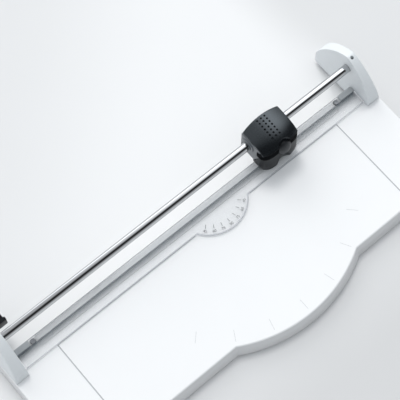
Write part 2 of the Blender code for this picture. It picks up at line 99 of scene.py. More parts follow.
class BracketSizes(bpy.types.PropertyGroup):
    """Brackets and rail."""
    inner: length("Inner face", "Inner face from the middle", 203.3)
    outer: length("Outer face", "Outer face at table level", 217.8)
    lean: length("Lean", "How far the outer face leans in over 42 mm", 5.0)
    middle: length("Hump middle", "Middle of the hump behind the cutting line", 10.0)
    half: length("Hump half", "Half depth of the hump at table level", 38.0)
    tall: length("Hump height", "Height of the hump above the table", 46.5)
    rim: length("Rim", "Rounding of the bracket's edges", 2.4)
    toe: length("Toe", "How far the toe ends short of the hump's point", 2.0)
    rail_r: length("Rail radius", "Radius of the steel rail", 4.25)
    rail_y: length("Rail back", "Rail axis behind the cutting line", 7.44)
    rail_z: length("Rail height", "Rail axis above the table", 30.0)
    rail_half: length("Rail half", "Half length of the rail", 211.0)


class ClampSizes(bpy.types.PropertyGroup):
    """Clear clamp strip with its protractor tongue."""
    half: length("Half length", "Half length of the strip", 202.8)
    rise: length("Rise", "Underside above the table", 1.0)
    screw_x: length("Screw place", "Clamp screws from the middle", 182.3)
    screw_y: length("Screw depth", "Clamp screws before the cutting line", 4.0)
    centre_x: length("Protractor", "Centre of the protractor on the cutting line", 25.8)
    tongue: length("Tongue", "Radius of the protractor tongue", 37.45)
    figure: length("Figure height", "Height of the protractor's numbers", 3.7)


class HeadSizes(bpy.types.PropertyGroup):
    """Sliding head with its round blade."""
    x: length("Place", "Middle of the head along the rail", 101.0)
    axle_z: length("Axle height", "Blade axle above the table", 18.0)
    blade: length("Blade radius", "Radius of the round blade", 19.5)
    house_half: length("Housing half", "Half width of the blade housing", 21.2)
    house_front: length("Housing front", "Front of the housing before the cutting line", 17.7)
    house_top: length("Housing top", "Top of the housing above the table", 37.0)
    cap_half: length("Cap half", "Half length of the cap", 21.0)
    cap_rear: length("Cap rear", "Rear edge of the cap at its ends", 15.9)
    cap_rear_bow: length("Cap rear bow", "Extra reach of its middle to the rear", 2.1)
    cap_front: length("Cap front", "Front edge of the cap at its ends", 13.5)
    cap_front_bow: length("Cap front bow", "Extra reach of its middle to the front", 3.5)
    cap_end: length("Cap height", "Height of the cap's ends", 44.7)
    cap_rise: length("Cap rise", "Rise of its middle", 3.3)
    cap_roll: length("Cap roll", "Drop of its front edge", 6.0)
    knob_r: length("Knob radius", "Radius of the round knob", 7.4)
    knob_x: length("Knob offset", "Knob beside the head's middle", 3.3)
    knob_y: length("Knob depth", "Seat of the knob from the cutting line", -14.0)
    knob_z: length("Knob height", "Seat of the knob above the table", 30.4)
    dot: length("Dot", "Radius of the grip holes in the cap", 1.0)


class Colours(bpy.types.PropertyGroup):
    """Finishes of the pieces."""
    table: tint("Table", "White table plastic", (0.875, 0.88, 0.885))
    bracket: tint("Bracket", "Pale grey bracket plastic", (0.78, 0.81, 0.825))
    carriage: tint("Carriage", "Mid grey carriage plastic", (0.15, 0.162, 0.175))
    black: tint("Head", "Black head plastic", (0.0056, 0.0068, 0.0085))
    # Also the colour of the clamp's dark lines and of its painted rail shadow.
    clear: tint("Clamp", "Tint of the clear clamp", (0.16, 0.185, 0.205))
    chrome: tint("Rail", "Polished steel rail", (0.57, 0.58, 0.59))
    steel: tint("Edge", "Ground steel of the blades", (0.90, 0.905, 0.91))
    screw: tint("Screw", "Dark steel fasteners", (0.16, 0.165, 0.175))
    rubber: tint("Rubber", "Feet and rollers", (0.022, 0.022, 0.024))
    nylon: tint("Nylon", "Bushes and hub", (0.62, 0.61, 0.57))
    pad: tint("Pad", "Grey pads on the clamp", (0.42, 0.44, 0.455))
    guide: tint("Guide print", "Printed guide lines on the table", (0.46, 0.47, 0.485))
    figure: tint("Figure print", "Printed protractor marks", (0.05, 0.053, 0.06))
    floor: tint("Floor", "Floor below the part", (0.865, 0.867, 0.869))


def group(kind, name, text):
    """A pointer to one group of settings."""
    return bpy.props.PointerProperty(type=kind, name=name, description=text)


class TrimmerSettings(bpy.types.PropertyGroup):
    """All settings of the trimmer."""
    table: group(TableSizes, "Table", "Table sizes")
    bracket: group(BracketSizes, "Brackets", "Bracket and rail sizes")
    clamp: group(ClampSizes, "Clamp", "Clamp sizes")
    head: group(HeadSizes, "Head", "Head sizes")
    colours: group(Colours, "Colours", "Finishes")


def in_mm(sizes):
    """The lengths of a group in millimetres."""
    names = type(sizes).__annotations__
    return types.SimpleNamespace(**{name: round(getattr(sizes, name) / MM, 4) for name in names})


# Places that several steps share, in millimetres

COUNTER_SCREWS = (("left", -4), ("middle", 0), ("right", 4))    # counted in cells of the ribs
COUNTER_SCREW_Y = 6.0                                           # before the cutting line
BRACKET_SCREWS = (("rear", 8.0), ("front", 19.0))               # before the cutting line
BRACKET_SCREW_X = 210.3                                         # from the middle
REAR_FOOT = (210.5, 39.5)               # from the middle, behind the cutting line
HOUSING_SCREW = (13.0, 22.0)            # beside the head's middle, above the table
ROLLER_PIN = (11.0, 6.7)                # beside the head's middle, above the table


def foot_spots(t, c):
    """Name, place, radius and peg height of each foot, the three at the front first."""
    front = (("left", -196.0, -60.0), ("right", 196.0, -60.0), ("middle", c.centre_x, -84.0))
    feet = [("foot_front_" + name, x, y, 7.0, 5.5) for name, x, y in front]
    x, y = REAR_FOOT
    return feet + [("foot_rear_" + name, s * x, t.cut + y, 5.5, 3.5) for name, s in SIDES]


def clamp_spots(t, c):
    """Axes of the two clamp screws."""
    return [(s * c.screw_x, t.cut - c.screw_y, 0.0) for name, s in SIDES]


def counter_spots(t):
    """Axes of the counter blade's screws."""
    return [(t.cell * k, t.cut - COUNTER_SCREW_Y, 0.0) for name, k in COUNTER_SCREWS]


def bracket_spots(t, s):
    """Axes of the screws of the bracket on one side."""
    return [(s * BRACKET_SCREW_X, t.cut - y, 0.0) for end, y in BRACKET_SCREWS]


def head_spots(t, h, place):
    """A place beside the head's middle, on both sides, in the plane of the cutting line."""
    return [(h.x + s * place[0], t.cut, t.top + place[1]) for name, s in SIDES]


def rail_axis(t, b, x=0.0):
    """A point on the rail's axis."""
    return x, t.cut + b.rail_y, t.top + b.rail_z


def blade_axle(t, h):
    """The point of the blade's axle in the plane of the cutting line."""
    return h.x, t.cut, t.top + h.axle_z


# Shapes

def quads(rows, columns, around=True, closed=False):
    """Four-sided faces of a grid of points; around joins its last column to its first, closed
    joins its last row to its first."""
    row = np.arange(rows if closed else rows - 1)[:, None]
    column = np.arange(columns if around else columns - 1)[None, :]
    after, beside = (row + 1) % rows, (column + 1) % columns
    corners = [row * columns + column, row * columns + beside,
               after * columns + beside, after * columns + column]
    return np.stack([c + np.zeros_like(corners[0]) for c in corners], -1).reshape(-1, 4).tolist()


def skin(rings):
    """A closed body through rings of points, capped at its two ends."""
    rows, columns = rings.shape[:2]
    last = (rows - 1) * columns
    faces = quads(rows, columns)
    faces += [list(range(columns))[::-1], list(range(last, last + columns))]
    return rings.reshape(-1, 3), faces


def together(*shapes):
    """Several shapes as one set of points and faces."""
    points, faces, start = [], [], 0
    for some, loops in shapes:
        points.append(some)
        faces += [[i + start for i in loop] for loop in loops]
        start += len(some)
    return np.concatenate(points), faces


def along(axis, flat, t):
    """Flat points (a, b) at distance t along an axis: (t, a, b), (a, t, b) or (a, b, t)."""
    a, b = flat[..., 0], flat[..., 1]
    t = np.broadcast_to(t, a.shape)
    return np.stack({"X": (t, a, b), "Y": (a, t, b), "Z": (a, b, t)}[axis], -1)


def inward(loop):
    """Mitred inward normals of a closed loop: the two edge normals' sum over one plus their
    product, so that moving by d sets every edge back by d."""
    ahead = np.roll(loop, -1, 0) - loop
    ahead = ahead / np.linalg.norm(ahead, axis=1)[:, None]
    behind = np.roll(ahead, 1, 0)
    after = np.roll(loop, -1, 0)
    turn = np.sign(np.sum(loop[:, 0] * after[:, 1] - after[:, 0] * loop[:, 1]))
    one = turn * np.stack([-behind[:, 1], behind[:, 0]], 1)
    two = turn * np.stack([-ahead[:, 1], ahead[:, 0]], 1)
    return (one + two) / np.maximum(1.0 + np.sum(one * two, 1), 0.35)[:, None]


def quarter(steps):
    """Angles of a quarter turn."""
    return np.linspace(0.0, math.pi / 2, steps)


def round_edge(radius, soft, steps):
    """Quarter round of a turned edge: radius - soft (1 - sin a) at the distance soft (1 - cos a)."""
    a = quarter(steps)
    return np.stack([radius - soft * (1 - np.sin(a)), soft * (1 - np.cos(a))], 1)


def rim(soft, steps=5):
    """Quarter round: (set back, distance from the end) from the flat end to the straight side,
    with one row just inside the flat end so that it shades flat."""
    turn = quarter(steps)
    back = np.append(soft + 0.05, soft * (1.0 - np.sin(turn)))
    return back, np.append(0.0, soft * (1.0 - np.cos(turn)))


def slab(axis, loop, low, high, soft_low=0.0, soft_high=0.0, share=1.0):
    """An outline pushed along an axis, its two rims rounded by quarter circles; share says how
    much of the rounding each point of the outline takes."""
    back_low, step_low = rim(soft_low) if soft_low else (np.zeros(1), np.zeros(1))
    back_high, step_high = rim(soft_high) if soft_high else (np.zeros(1), np.zeros(1))
    back = np.concatenate([back_low, back_high[::-1]])
    place = np.concatenate([low + step_low, high - step_high[::-1]])
    share = np.broadcast_to(share, len(loop))[:, None]
    flat = loop[None] + back[:, None, None] * (share * inward(loop))[None]
    return skin(along(axis, flat, place[:, None]))


def rounded(corners, radius, steps=5):
    """A polygon whose corners become parabolic fillets: between points at the radius before and
    after a corner, (1-s)^2 A + 2 s (1-s) P + s^2 B."""
    corner = np.asarray(corners, float)
    radius = np.broadcast_to(np.asarray(radius, float), len(corner))[:, None]
    before, after = np.roll(corner, 1, 0) - corner, np.roll(corner, -1, 0) - corner
    one = corner + radius * before / np.linalg.norm(before, axis=1)[:, None]
    two = corner + radius * after / np.linalg.norm(after, axis=1)[:, None]
    s = np.linspace(0.0, 1.0, steps)[None, :, None]
    curve = (1 - s) ** 2 * one[:, None] + 2 * s * (1 - s) * corner[:, None] + s * s * two[:, None]
    return curve.reshape(-1, 2)


def block(x0, x1, y0, y1, z0, z1, radius=0.0):
    """A box with upright edges rounded by a radius."""
    corners = [(x0, y0), (x1, y0), (x1, y1), (x0, y1)]
    loop = rounded(corners, radius) if radius else np.array(corners, float)
    return slab("Z", loop, z0, z1)


def arc(x, y, radius, start, end, steps):
    """Points of a circle between two angles in degrees."""
    a = np.radians(np.linspace(start, end, steps + 1))
    return np.stack([x + radius * np.cos(a), y + radius * np.sin(a)], 1)


def lathe(axis, centre, profile, sides=96, closed=False):
    """A (radius, distance) profile turned about an axis: r cos a, r sin a at each distance.
    closed joins the profile's end to its start; otherwise it starts and ends on the axis."""
    r, t = np.asarray(profile, float).T
    a = np.linspace(0.0, 2 * math.pi, sides, endpoint=False)
    flat = np.stack([r[:, None] * np.cos(a), r[:, None] * np.sin(a)], -1)
    points = along(axis, flat, t[:, None]) + np.asarray(centre, float)
    return points.reshape(-1, 3), quads(len(r), sides, True, closed)


def bar(axis, centre, radius, low, high, sides=48):
    """A plain round bar, used to cut and to join."""
    return lathe(axis, centre, [(0, low), (radius, low), (radius, high), (0, high)], sides)


def helix(axis, centre, mean, wire, low, high, curls, per_curl=40, ring=12):
    """A wire wound about an axis: the middle line is (m cos a, m sin a, rise a), and a circle of
    the wire's radius is set across it at every step."""
    a = np.linspace(0.0, 2 * math.pi * curls, int(per_curl * curls) + 1)
    pitch = (high - low - 2 * wire) / a[-1]
    slope = math.hypot(mean, pitch)
    out = np.stack([np.cos(a), np.sin(a), 0 * a], 1)
    up = np.stack([pitch / slope * np.sin(a), -pitch / slope * np.cos(a), mean / slope + 0 * a], 1)
    middle = mean * out
    middle[:, 2] = low + wire + pitch * a
    b = np.linspace(0.0, 2 * math.pi, ring, endpoint=False)[None, :, None]
    tube = middle[:, None] + wire * (np.cos(b) * out[:, None] + np.sin(b) * up[:, None])
    if axis == "Y":
        tube = tube[..., [1, 2, 0]]
    return skin(tube + np.asarray(centre, float))


# Objects

def solid(name, shape, weld=0.002):
    """An object from a shape in millimetres, its doubles merged and its faces turned outwards."""
    points, faces = shape
    mesh = bpy.data.meshes.new(name)
    mesh.from_pydata((np.asarray(points, float) * MM).tolist(), [], faces)
    tidy(mesh, weld)
    ob = bpy.data.objects.new(name, mesh)
    bpy.context.scene.collection.objects.link(ob)
    return ob


def tidy(mesh, weld):
    """Merges points closer than a distance and turns the faces of a closed body outwards."""
    work = bmesh.new()
    work.from_mesh(mesh)
    bmesh.ops.remove_doubles(work, verts=work.verts, dist=weld * MM)
    bmesh.ops.dissolve_degenerate(work, edges=work.edges, dist=weld * MM * 0.5)
    bmesh.ops.recalc_face_normals(work, faces=work.faces)
    work.to_mesh(mesh)
    work.free()


def shaped(ob, *shapes, operation="DIFFERENCE"):
    """Cuts shapes from an object, or joins them to it, and keeps the result as its mesh."""
    tool = solid(ob.name + "_tool", together(*shapes))
    mod = ob.modifiers.new("work", "BOOLEAN")
    mod.object = tool
    mod.operation = operation
    mod.solver = "EXACT"
    graph = bpy.context.evaluated_depsgraph_get()
    made = bpy.data.meshes.new_from_object(ob.evaluated_get(graph))
    ob.modifiers.clear()
    old = ob.data
    ob.data = made
    bpy.data.meshes.remove(old)
    bpy.data.meshes.remove(tool.data)
    tidy(ob.data, 0.001)
    return ob


def done(ob, finish, body, nodes=(), sharp=34.0):
    """Smooth shading with sharp edges, a named finish, and the piece's place in the frame."""
    ob.data.shade_smooth()
    ob.data.set_sharp_from_angle(angle=math.radians(sharp))
    ob.data.materials.clear()
    ob.data.materials.append(FINISHES[finish])
    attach(ob, body)
    if nodes:
        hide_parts(*nodes)
    return ob


# Finishes

def sign(operation, turned=False):
    """One sign of a Wire's arithmetic; turned puts the other value first."""
    def apply(self, other):
        one, two = (other, self) if turned else (self, other)
        return self.nodes.add("Math", {0: one, 1: two}, operation=operation)
    return apply


class Wire:
    """A shader socket that takes part in Python arithmetic; each sign adds a Math node."""

    def __init__(self, nodes, socket):
        self.nodes = nodes
        self.socket = socket

    __add__ = __radd__ = sign("ADD")
    __sub__ = sign("SUBTRACT")
    __rsub__ = sign("SUBTRACT", True)
    __mul__ = __rmul__ = sign("MULTIPLY")
    __truediv__ = sign("DIVIDE")
    __pow__ = sign("POWER")


class Nodes:
    """A node tree with one way to add a node."""

    def __init__(self, tree):
        self.tree = tree

    def add(self, kind, values=None, output=0, **settings):
        """One shader node of a kind: its settings first, then the values or links of its sockets."""
        made = self.tree.nodes.new("ShaderNode" + kind)
        for key, value in settings.items():
            setattr(made, key, value)
        for key, value in (values or {}).items():
            self.put(made.inputs[key], value)
        return Wire(self, made.outputs[output])

    def put(self, socket, value):
        """Links a wire to a socket, or sets its number or colour."""
        if isinstance(value, Wire):
            self.tree.links.new(value.socket, socket)
        elif isinstance(socket.default_value, (int, float)):
            socket.default_value = value
        else:
            value = tuple(value)
            socket.default_value = value if len(value) == len(socket.default_value) else (*value, 1.0)

    def place(self, output="Object"):
        """Coordinates of the point that is shaded."""
        return self.add("TexCoord", output=output)

    def axes(self, output="Object"):
        """The three coordinates of a place."""
        return [self.add("SeparateXYZ", {"Vector": self.place(output)}, k) for k in range(3)]

    def noise(self, scale, detail, stretch=(1.0, 1.0, 1.0)):
        """Noise on Object coordinates; scale is in waves a metre, times the stretch of each axis."""
        spot = self.add("Mapping", {"Vector": self.place(), "Scale": stretch})
        values = {"Vector": spot, "Scale": scale, "Detail": detail, "Roughness": 0.55}
        return self.add("TexNoise", values)

    def mix(self, share, one, two):
        """Two colours mixed by a share."""
        return self.add("Mix", {0: share, 6: one, 7: two}, 2, data_type="RGBA")

    def step(self, value, low, high):
        """0 below low, 1 above high, smooth between."""
        values = {"Value": value, "From Min": low, "From Max": high}
        return self.add("MapRange", values, interpolation_type="SMOOTHSTEP")


class Finish(Nodes):
    """A procedural material around one Principled shader."""

    def __init__(self, name):
        self.material = bpy.data.materials.new(name)
        self.material.use_nodes = True
        super().__init__(self.material.node_tree)
        self.shader = self.tree.nodes["Principled BSDF"]

    def set(self, **values):
        """Sets or links inputs of the Principled shader by name."""
        for key, value in values.items():
            self.put(self.shader.inputs[key.replace("_", " ")], value)

    def bump(self, height, depth):
        """Fine relief of a depth in millimetres."""
        values = {"Strength": 0.6, "Distance": depth * MM, "Height": height}
        self.set(Normal=self.add("Bump", values))


def shade(rgb, factor):
    """A colour made deeper or paler by a factor."""
    return tuple(min(c * factor, 1.0) for c in rgb)


def moulded(name, rgb, rough, grain, depth, vary, gloss=0.5, sheen=(1.0, 1.0, 1.0), skirt=None):
    """Moulded plastic: a fine spark grain, slow mottling of the colour and uneven gloss; with a skirt,
    the colour is deeper below that height: painted shade on the sides of the table."""
    f = Finish(name)
    slow = f.noise(22.0, 2.0)
    fine = f.noise(grain, 2.0)
    colour = f.mix(slow, shade(rgb, 1.0 - vary), shade(rgb, 1.0 + vary))
    if skirt:
        # Painted shade: the sides below the skirt height are coloured deeper.
        deeper, blend = 0.85, 0.9
        x, y, z = f.axes()
        colour = f.mix(f.step(z / MM, skirt - blend, skirt), shade(rgb, deeper), colour)
    f.set(Base_Color=colour, Roughness=rough - 0.05 + 0.06 * slow + 0.04 * fine, Specular_IOR_Level=gloss,
          Specular_Tint=sheen, IOR=1.5)
    f.bump(fine, depth)
    return f.material


def metal(name, rgb, rough, stretch, scale, depth, vary):
    """Bare metal with fine tool marks, drawn out along the axes whose stretch is small."""
    f = Finish(name)
    marks = f.noise(scale, 3.0, stretch)
    f.set(Base_Color=f.mix(marks, shade(rgb, 1.0 - vary), shade(rgb, 1.0 + vary)), Metallic=1.0,
          Roughness=rough + 0.1 * rough * marks)
    f.bump(marks, depth)
    return f.material


def clear(name, rgb, table, clamp):
    """Clear plastic: a thin haze, a dark line along the rear edge, a painted dark line where the step
    bends the light, a painted shadow of the rail that fades towards the front, painted highlights as
    pale rims along the front edge, the tongue and the two ends, and denser where it is seen on edge."""
    f = Finish(name)
    x, y, z = f.axes()
    away, back = x / MM - clamp.centre_x, table.cut - y / MM
    bend = f.step(back, 6.1, 6.6) * (1.0 - f.step(back, 7.2, 8.6))
    reach = (away * away + back * back) ** 0.5
    # Painted highlight: a pale rim round the tongue and along the front edge.
    edge = f.step(reach, clamp.tongue - 1.3, clamp.tongue - 0.9) * f.step(back, 20.1, 20.5)
    rear = 1.0 - f.step(back, 0.55, 0.85)
    # Painted shadow of the rail on the strip, from the step fading towards the front.
    painted_rail_shadow = f.step(back, 6.6, 7.2) * (1.0 - f.step(back, 8.0, 17.0))
    # Painted highlight: pale rims at the strip's two ends.
    end = f.step(x * x, ((clamp.half - 1.3) * MM) ** 2, ((clamp.half - 0.9) * MM) ** 2)
    facing = f.add("LayerWeight", {"Blend": 0.35}, 1)
    haze = f.noise(160.0, 2.0)
    body = f.mix(edge, f.mix(bend + rear + painted_rail_shadow, (0.80, 0.82, 0.84), rgb), (0.56, 0.58, 0.61))
    f.set(Base_Color=f.mix(end, body, (0.95, 0.95, 0.96)), Roughness=0.06 + 0.03 * haze,
          Alpha=0.08 + 0.03 * haze + 0.4 * bend + 0.6 * rear + 0.16 * painted_rail_shadow + 0.5 * edge + 0.6 * end
          + 0.3 * facing ** 3.0, IOR=1.49)
    return f.material


def ground(name, rgb, pale, table):
    """Steel plate ground along the cutting line, bare at its left and brushed pale to the right, and
    coated pale further in."""
    f = Finish(name)
    x, y, z = f.axes()
    inner = f.step(table.cut - y / MM, 6.6, 7.4)
    bright = (1.0 - inner) * (1.0 - f.step(x, -0.11, -0.05))
    marks = f.noise(900.0, 2.0, (0.02, 1.0, 1.0))
    bare = f.mix(marks, shade(rgb, 0.98), shade(rgb, 1.04))
    f.set(Base_Color=f.mix(inner, bare, pale), Metallic=0.85 * bright, Roughness=0.3 + 0.02 * marks)
    return f.material


def ground_sheet(name, rgb):
    """Pale floor sheet with painted shade, deeper towards the front, the right and the rear left, with a
    faint mottle.
    """
    f = Finish(name)
    x, y, z = f.axes()
    # Painted shade: the floor is made darker towards the front, the right and the rear left, where less
    # light falls.
    ends = 0.45 * f.step(y - x, 0.08, 0.34) + 0.6 * f.step(x, 0.17, 0.235)
    deep = f.step(y * -1.0, 0.0, 0.17) + ends + 0.04 * f.noise(14.0, 2.0)
    f.set(Base_Color=f.mix(deep, rgb, shade(rgb, 0.74)), Roughness=0.75)
    return f.material


FINISHES = {}


def make_finishes(settings):
    """All finishes of the part, by name."""
    c, t = settings.colours, in_mm(settings.table)
    round_x, along_x, even = (1.0, 0.02, 0.02), (0.02, 1.0, 1.0), (1.0, 1.0, 1.0)
    FINISHES.update(
        # The table's skirt gets painted shade below this height.
        table=moulded("table_white", c.table, 0.36, 1300.0, 0.012, 0.012, skirt=t.top - 0.6),
        bracket=moulded("bracket_grey", c.bracket, 0.42, 1500.0, 0.016, 0.02),
        carriage=moulded("carriage_grey", c.carriage, 0.42, 1700.0, 0.016, 0.03),
        black=moulded("head_black", c.black, 0.27, 1900.0, 0.006, 0.12, 1.0, (0.84, 0.94, 1.0)),
        matt=moulded("housing_black", c.black, 0.36, 1900.0, 0.008, 0.12, 0.22),
        # A darker, dull copy of the black: painted shade for the band below the cap.
        seal=moulded("seal_black", shade(c.black, 0.6), 0.7, 1900.0, 0.01, 0.1, 0.02),
        # A lighter copy of the black: painted light, the knob made lighter as if lit.
        knob=moulded("knob_lit_black", shade(c.black, 2.6), 0.4, 1900.0, 0.008, 0.1, 0.6),
        pad=moulded("pad_grey", c.pad, 0.55, 1500.0, 0.02, 0.04),
        clear=clear("clamp_clear", c.clear, t, in_mm(settings.clamp)),
        chrome=metal("rail_chrome", c.chrome, 0.07, round_x, 2500.0, 0.0015, 0.02),
        edge=metal("edge_steel", c.steel, 0.26, along_x, 1500.0, 0.0004, 0.03),
        plate=ground("counter_steel", c.steel, c.table, t),
        screw=metal("screw_steel", c.screw, 0.36, even, 1200.0, 0.004, 0.12),
        bolt=metal("bolt_steel", shade(c.screw, 2.3), 0.3, even, 1200.0, 0.004, 0.12),
        rubber=moulded("foot_rubber", c.rubber, 0.75, 1200.0, 0.05, 0.15),
        nylon=moulded("bush_nylon", c.nylon, 0.5, 1200.0, 0.015, 0.04),
        guide=moulded("guide_print", c.guide, 0.5, 2200.0, 0.004, 0.04),
        figure=moulded("figure_print", c.figure, 0.5, 2200.0, 0.004, 0.05),
    )


# Forms

def table_loop(s, clamp, flare):
    """Outline of the table at one flare: rear edge, wings with round corners, and the bay as an
    arc about the protractor's centre."""
    half = s.half + s.side_flare * flare
    wing = s.cut - s.wing - s.front_flare * flare
    radius = s.bay + s.front_flare * flare
    reach = math.degrees(math.acos((s.cut - wing) / radius))
    return np.concatenate([
        [(half, s.cut), (-half, s.cut)],
        arc(s.corner - half, wing + s.corner, s.corner, 180, 270, 12),
        arc(clamp.centre_x, s.cut, radius, 270 - reach, 270 + reach, 120),
        arc(half - s.corner, wing + s.corner, s.corner, 270, 360, 12)])


def table_body(s, clamp):
    """The table's outside: outlines that flare down to the skirt, with rounded rims."""
    top, low = table_loop(s, clamp, 0.0), table_loop(s, clamp, 1.0)
    back, down = rim(s.rim, 6)
    under, up = rim(0.5, 4)
    rings = [along("Z", low + b * inward(low), s.low + t) for b, t in zip(under, up)]
    for b, t in zip(back[::-1], down[::-1]):
        share = t / (s.top - s.low)
        rings.append(along("Z", top + (low - top) * share + b * inward(top), s.top - t))
    return skin(np.array(rings))


def table_cells(s, clamp):
    """The hollows under the table between its ribs: rows behind the wings, short ones in the bay."""
    front_wall, rear_wall, bay_wall, corner, least = 3.5, 3.0, 4.0, 1.5, 6.0
    low, high = s.low - 1.0, s.top - s.plate
    wing = s.cut - s.wing + front_wall
    rows = ((wing, wing + 37.7), (wing + 39.5, wing + 77.9), (wing + 79.7, s.cut - rear_wall))
    inner = s.bay - bay_wall
    shapes = []
    for k in range(-5, 6):
        x0, x1 = s.cell * k - (s.cell - s.rib) / 2, s.cell * k + (s.cell - s.rib) / 2
        shapes += [block(x0, x1, y0, y1, low, high, corner) for y0, y1 in rows]
        front = max(s.cut - math.sqrt(max(inner ** 2 - (x - clamp.centre_x) ** 2, 0.0)) for x in (x0, x1))
        if wing - s.rib - front > least:
            shapes.append(block(x0, x1, front, wing - s.rib, low, high, corner))
    return together(*shapes)


def bracket_loop(s, table):
    """Side view of a bracket in (Y, Z): a hump over the table, |y|^1.45 + |z|^1.45 = 1 in shares of
    its half depth and height and cut short at the toe, and a leg behind it."""
    a = np.linspace(0.0, math.pi, 73)
    power = 2 / 1.45
    y = table.cut + s.middle + s.half * np.sign(np.cos(a)) * np.abs(np.cos(a)) ** power
    z = table.top + GAP + s.tall * np.abs(np.sin(a)) ** power
    rear, toe = table.cut + s.middle + s.half, table.cut + s.middle - s.half + s.toe
    y = np.maximum(y, toe)
    z[-1] = table.top + GAP + 0.7
    under = [(toe, table.top + GAP), (table.cut + GAP, table.top + GAP), (table.cut + GAP, table.low)]
    heel = [(rear - 2.0, table.low), (rear, table.low + 2.0)]
    return np.concatenate([np.stack([y, z], 1), under, heel])


def bracket_body(name, side, s, table):
    """A bracket pushed along X between its faces; above the table its outer face leans in, and
    towards the toe it is drawn in along an ellipse."""
    near, far = sorted((side * s.inner, side * s.outer))
    soft = (s.rim, 0.7) if side < 0 else (0.7, s.rim)
    loop = bracket_loop(s, table)
    rim_from, rim_over = 0.8, 5.0
    share = np.clip((loop[:, 1] - table.top - GAP - rim_from) / rim_over, 0.0, 1.0)
    ob = solid(name, slab("X", loop, near, far, *soft, share=share * share * (3 - 2 * share)))
    work = bmesh.new()
    work.from_mesh(ob.data)
    bmesh.ops.bisect_plane(work, geom=work.verts[:] + work.edges[:] + work.faces[:],
                           plane_co=(0, 0, table.top * MM), plane_no=(0, 0, 1))
    work.to_mesh(ob.data)
    work.free()
    co = np.empty(len(ob.data.vertices) * 3)
    ob.data.vertices.foreach_get("co", co)
    co = co.reshape(-1, 3)
    share = (np.abs(co[:, 0]) / MM - s.inner) / (s.outer - s.inner)
    lean_over = 42.0
    co[:, 0] -= side * share * s.lean * np.maximum(co[:, 2] - table.top * MM, 0.0) / lean_over
    toe_long, toe_in = 4.0, 2.0
    toe = np.clip((table.cut + s.middle - s.half + toe_long - co[:, 1] / MM) / toe_long, 0.0, 1.0)
    co[:, 0] -= side * share * toe_in * MM * (1.0 - np.sqrt(1.0 - toe ** 2))
    ob.data.vertices.foreach_set("co", co.ravel())
    return ob


def cap_edges(s, table, x):
    """Rear edge, front edge and crown of the cap at a distance from its middle, bowed by 1 - u^2."""
    bow = 1.0 - (x / s.cap_half) ** 2
    rear = table.cut + s.cap_rear + s.cap_rear_bow * bow
    front = table.cut - s.cap_front - s.cap_front_bow * bow
    return rear, front, table.top + s.cap_end + s.cap_rise * bow


def cap_sections(s, table):
    """The cap's sections along X in (Y, Z): a top that falls by the 3.5th power towards the front,
    a rounded rear edge and a flat underside; rear, front and crown bow with 1 - u^2, and the two
    ends are rounded by a quarter circle and tucked in below."""
    soft, rear_soft, tuck_in = 0.55, 1.3, 1.2
    turn = quarter(6)
    end = s.cap_half - soft + soft * np.sin(turn)
    middle = np.linspace(-end[0], end[0], 61)[1:-1]
    x = np.concatenate([-end[::-1], middle, end])
    back = soft * (1.0 - np.cos(turn))
    back = np.concatenate([back[::-1], 0.0 * middle, back])
    rear, front, top = [edge[:, None] for edge in cap_edges(s, table, x)]
    same = np.ones_like(rear)
    base, under = (table.top + 40.0) * same, (table.top + s.house_top + 0.4) * same
    v = np.linspace(0.045, 0.99, 44)[None]
    bend = turn[None, :-1]
    nose = top - s.cap_roll
    y = np.concatenate([rear, rear - rear_soft * (1 - np.cos(bend)), rear + v * (front - rear), front,
                        front + 0.2, front + 1.9, (table.cut - 9.0) * same, (table.cut - 8.6) * same], 1)
    z = np.concatenate([base, top - rear_soft * (1 - np.sin(bend)), top - s.cap_roll * v ** 3.5, nose,
                        nose - 0.7, under, under, base], 1)
    loops = np.stack([y, z], -1)
    loops = np.array([loop + b * inward(loop) for loop, b in zip(loops, back)])
    tuck = np.ones(loops.shape[1])
    tuck[0] = tuck[-4:] = 1.0 - tuck_in / s.cap_half
    return along("X", loops, s.x + x[:, None] * tuck)


def cap_top(s, table, x, y):
    """Height of the cap's upper face at a place."""
    rear, front, top = cap_edges(s, table, x - s.x)
    return top - s.cap_roll * ((y - rear) / (front - rear)) ** 3.5


def house_plan(s, table, levels, wall, rear):
    """Rings of the housing at several heights: straight sides to a rear line, and a front whose
    corners are superelliptic, x = half sin(a)^p and y = depth cos(a)^p with p from 0.63 on the left
    to 0.45 on the right, all set back by a wall; the right side is 1 mm fuller."""
    z, wall = np.broadcast_arrays(np.asarray(levels, float), wall)
    z, wall = z[:, None], wall[:, None]
    bulge, draw_in, draw_over = 12.0, 1.6, 7.4
    lean, lean_from, straight = 0.09, 14.0, 6.0
    half = s.house_half - draw_in * np.maximum((bulge - z) / draw_over, 0.0) ** 2 - wall
    depth = s.house_front - lean * np.maximum(z - lean_from, 0.0) - wall - straight
    a = np.linspace(-math.pi / 2, math.pi / 2, 97)[None]
    power = 0.54 - 0.09 * np.sign(a) * np.sin(a) ** 2
    x = np.concatenate([half, -half, half * np.sign(a) * np.abs(np.sin(a)) ** power], 1)
    bow = depth * np.maximum(np.cos(a), 0.0) ** power
    y = np.concatenate([rear + 0 * half, rear + 0 * half, -straight - bow], 1)
    fuller = 1.0
    x = x + fuller / 2 + fuller / 2 * x / s.house_half
    return np.stack([s.x + x, table.cut + y, table.top + np.broadcast_to(z, x.shape)], -1)


def on_knob(shape, s, table):
    """A shape made about Y, leaned back by the knob's angle and set at the knob's seat."""
    points, faces = shape
    x, y, z = points.T
    c, d = math.cos(KNOB_LEAN), math.sin(KNOB_LEAN)
    turned = np.stack([x, y * c + z * d, z * c - y * d], 1)
    return turned + (s.x + s.knob_x, table.cut + s.knob_y, table.top + s.knob_z), faces


def knob_pocket(s, table):
    """The round room about the knob, from its seat to the front."""
    return on_knob(bar("Y", (0, 0, 0), s.knob_r + 0.4, -14.0, 0.0, 72), s, table)


